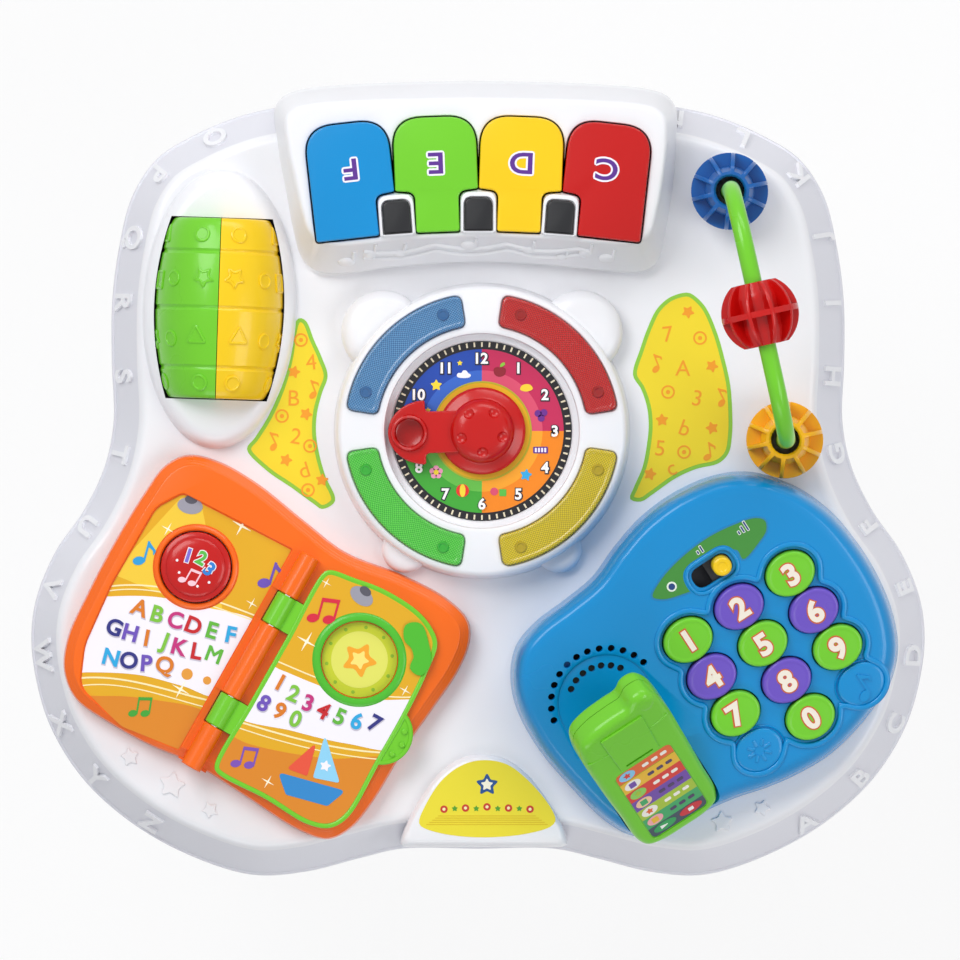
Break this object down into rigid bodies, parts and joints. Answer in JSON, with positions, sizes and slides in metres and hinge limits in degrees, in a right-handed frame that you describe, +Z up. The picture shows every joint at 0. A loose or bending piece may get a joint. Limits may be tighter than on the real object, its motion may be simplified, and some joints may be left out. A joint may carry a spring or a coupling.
{
  "type": "musical activity table",
  "caption": "Free-standing baby activity table on three legs, with piano keys, roller, clock with turning hand, bead arch, open board book and toy telephone.",
  "frame": {"origin": "middle of the footprint on the floor", "axes": "+Z up; +X to the right and +Y away from a viewer at the book and telephone side, so the piano is at +Y"},
  "size_m": [0.4596, 0.4086, 0.438],
  "materials": {
    "white_plastic": "semi-gloss white moulding",
    "blue_plastic": "glossy blue moulding",
    "green_plastic": "glossy leaf green moulding",
    "yellow_plastic": "glossy yellow moulding",
    "red_plastic": "glossy red moulding",
    "orange_plastic": "glossy orange moulding",
    "purple_plastic": "glossy purple moulding",
    "black_plastic": "matt black moulding",
    "grey_plastic": "matt grey moulding",
    "printed_dial": "printed face with quarters of colour",
    "red_lens": "translucent red",
    "blue_lens": "translucent blue",
    "green_lens": "translucent green",
    "yellow_lens": "translucent yellow",
    "foot_rubber": "soft grey rubber",
    "steel": "plain steel",
    "cell_sleeve": "printed sleeve of a dry cell",
    "circuit_board": "green solder mask"
  },
  "bodies": {
    "table": {"top_shell": "white_plastic", "bottom_shell": "white_plastic", "battery_door": "white_plastic", "battery_door_screw": "steel", "battery_1": "cell_sleeve", "battery_2": "cell_sleeve", "battery_3": "cell_sleeve", "main_board": "circuit_board", "leg_1": "white_plastic", "leg_2": "white_plastic", "leg_3": "white_plastic", "leg_foot_1": "foot_rubber", "leg_foot_2": "foot_rubber", "leg_foot_3": "foot_rubber", "roller_well": "black_plastic", "piano_housing": "white_plastic", "black_key_1": "black_plastic", "black_key_2": "black_plastic", "black_key_3": "black_plastic", "clock_housing": "white_plastic", "dial_plate": "printed_dial", "light_lens_red": "red_lens", "light_lens_blue": "blue_lens", "light_lens_green": "green_lens", "light_lens_yellow": "yellow_lens", "bead_arch": "green_plastic", "book_base": "orange_plastic", "book_hinge_pin": "steel", "phone_housing": "blue_plastic", "keypad_board": "circuit_board", "loudspeaker": "black_plastic"},
    "piano_key_blue": {"piano_key_blue": "blue_plastic"},
    "piano_key_green": {"piano_key_green": "green_plastic"},
    "piano_key_yellow": {"piano_key_yellow": "yellow_plastic"},
    "piano_key_red": {"piano_key_red": "red_plastic"},
    "roller": {"roller_half_green": "green_plastic", "roller_half_yellow": "yellow_plastic", "roller_axle": "grey_plastic"},
    "clock_hand": {"clock_hand": "red_plastic", "clock_hand_shaft": "grey_plastic"},
    "bead_blue": {"bead_blue": "blue_plastic"},
    "bead_yellow": {"bead_yellow": "yellow_plastic"},
    "bead_red": {"bead_red": "red_plastic"},
    "book_page": {"book_page": "green_plastic"},
    "song_button": {"song_button": "red_plastic"},
    "number_key_0": {"number_key_0": "green_plastic"},
    "number_key_1": {"number_key_1": "green_plastic"},
    "number_key_2": {"number_key_2": "purple_plastic"},
    "number_key_3": {"number_key_3": "green_plastic"},
    "number_key_4": {"number_key_4": "purple_plastic"},
    "number_key_5": {"number_key_5": "green_plastic"},
    "number_key_6": {"number_key_6": "purple_plastic"},
    "number_key_7": {"number_key_7": "green_plastic"},
    "number_key_8": {"number_key_8": "purple_plastic"},
    "number_key_9": {"number_key_9": "green_plastic"},
    "volume_knob": {"volume_knob": "yellow_plastic"},
    "handset": {"handset_front": "green_plastic", "handset_back": "green_plastic"}
  },
  "joints": [
    {"name": "piano_key_blue_press", "type": "hinge", "parent": "table", "child": "piano_key_blue", "pos_m": [-0.06164, 0.12753, 0.3555], "axis": [-0.9937, -0.1118, 0], "range_deg": [0, 4], "stiffness_Nm_per_rad": 0.6, "springref_deg": -1.72},
    {"name": "piano_key_green_press", "type": "hinge", "parent": "table", "child": "piano_key_green", "pos_m": [-0.02045, 0.13061, 0.3555], "axis": [-0.9993, -0.0373, 0], "range_deg": [0, 4], "stiffness_Nm_per_rad": 0.6, "springref_deg": -1.72},
    {"name": "piano_key_yellow_press", "type": "hinge", "parent": "table", "child": "piano_key_yellow", "pos_m": [0.02085, 0.13061, 0.3555], "axis": [-0.9993, 0.0373, 0], "range_deg": [0, 4], "stiffness_Nm_per_rad": 0.6, "springref_deg": -1.72},
    {"name": "piano_key_red_press", "type": "hinge", "parent": "table", "child": "piano_key_red", "pos_m": [0.06204, 0.12753, 0.3555], "axis": [-0.9937, 0.1118, 0], "range_deg": [0, 4], "stiffness_Nm_per_rad": 0.6, "springref_deg": -1.72},
    {"name": "roller_spin", "type": "hinge", "parent": "table", "child": "roller", "pos_m": [-0.1323, 0.0878, 0.334], "axis": [0.0332, 0.9995, 0], "continuous": true},
    {"name": "clock_hand_turn", "type": "hinge", "parent": "table", "child": "clock_hand", "pos_m": [0.002, 0.0253, 0.337], "axis": [0, 0, 1], "continuous": true},
    {"name": "bead_blue_slide", "type": "slide", "parent": "table", "child": "bead_blue", "axis": [0, 0, 1], "range_m": [0, 0.0247]},
    {"name": "bead_yellow_slide", "type": "slide", "parent": "table", "child": "bead_yellow", "axis": [0, 0, 1], "range_m": [0, 0.0247]},
    {"name": "bead_red_slide", "type": "slide", "parent": "table", "child": "bead_red", "axis": [-0.2164, 0.9763, 0], "range_m": [-0.015, 0.015]},
    {"name": "page_turn", "type": "hinge", "parent": "table", "child": "book_page", "pos_m": [-0.1162, -0.0924, 0.3459], "axis": [-0.4924, -0.8704, 0], "range_deg": [0, 178]},
    {"name": "song_button_press", "type": "slide", "parent": "table", "child": "song_button", "axis": [0, 0, -1], "range_m": [0, 0.003], "stiffness_N_per_m": 300, "springref_m": -0.0015},
    {"name": "number_key_1_press", "type": "slide", "parent": "table", "child": "number_key_1", "axis": [-0.1132, 0.1744, -0.9781], "range_m": [0, 0.0022], "stiffness_N_per_m": 300, "springref_m": -0.0015},
    {"name": "number_key_2_press", "type": "slide", "parent": "table", "child": "number_key_2", "axis": [-0.1132, 0.1744, -0.9781], "range_m": [0, 0.0022], "stiffness_N_per_m": 300, "springref_m": -0.0015},
    {"name": "number_key_3_press", "type": "slide", "parent": "table", "child": "number_key_3", "axis": [-0.1132, 0.1744, -0.9781], "range_m": [0, 0.0022], "stiffness_N_per_m": 300, "springref_m": -0.0015},
    {"name": "number_key_4_press", "type": "slide", "parent": "table", "child": "number_key_4", "axis": [-0.1132, 0.1744, -0.9781], "range_m": [0, 0.0022], "stiffness_N_per_m": 300, "springref_m": -0.0015},
    {"name": "number_key_5_press", "type": "slide", "parent": "table", "child": "number_key_5", "axis": [-0.1132, 0.1744, -0.9781], "range_m": [0, 0.0022], "stiffness_N_per_m": 300, "springref_m": -0.0015},
    {"name": "number_key_6_press", "type": "slide", "parent": "table", "child": "number_key_6", "axis": [-0.1132, 0.1744, -0.9781], "range_m": [0, 0.0022], "stiffness_N_per_m": 300, "springref_m": -0.0015},
    {"name": "number_key_7_press", "type": "slide", "parent": "table", "child": "number_key_7", "axis": [-0.1132, 0.1744, -0.9781], "range_m": [0, 0.0022], "stiffness_N_per_m": 300, "springref_m": -0.0015},
    {"name": "number_key_8_press", "type": "slide", "parent": "table", "child": "number_key_8", "axis": [-0.1132, 0.1744, -0.9781], "range_m": [0, 0.0022], "stiffness_N_per_m": 300, "springref_m": -0.0015},
    {"name": "number_key_9_press", "type": "slide", "parent": "table", "child": "number_key_9", "axis": [-0.1132, 0.1744, -0.9781], "range_m": [0, 0.0022], "stiffness_N_per_m": 300, "springref_m": -0.0015},
    {"name": "number_key_0_press", "type": "slide", "parent": "table", "child": "number_key_0", "axis": [-0.1132, 0.1744, -0.9781], "range_m": [0, 0.0022], "stiffness_N_per_m": 300, "springref_m": -0.0015},
    {"name": "volume_slide", "type": "slide", "parent": "table", "child": "volume_knob", "axis": [-0.8387, -0.5446, 0], "range_m": [0, 0.011]},
    {"name": "handset_lift", "type": "slide", "parent": "table", "child": "handset", "axis": [-0.3644, 0.5612, 0.7431], "range_m": [0, 0.04]}
  ]
}
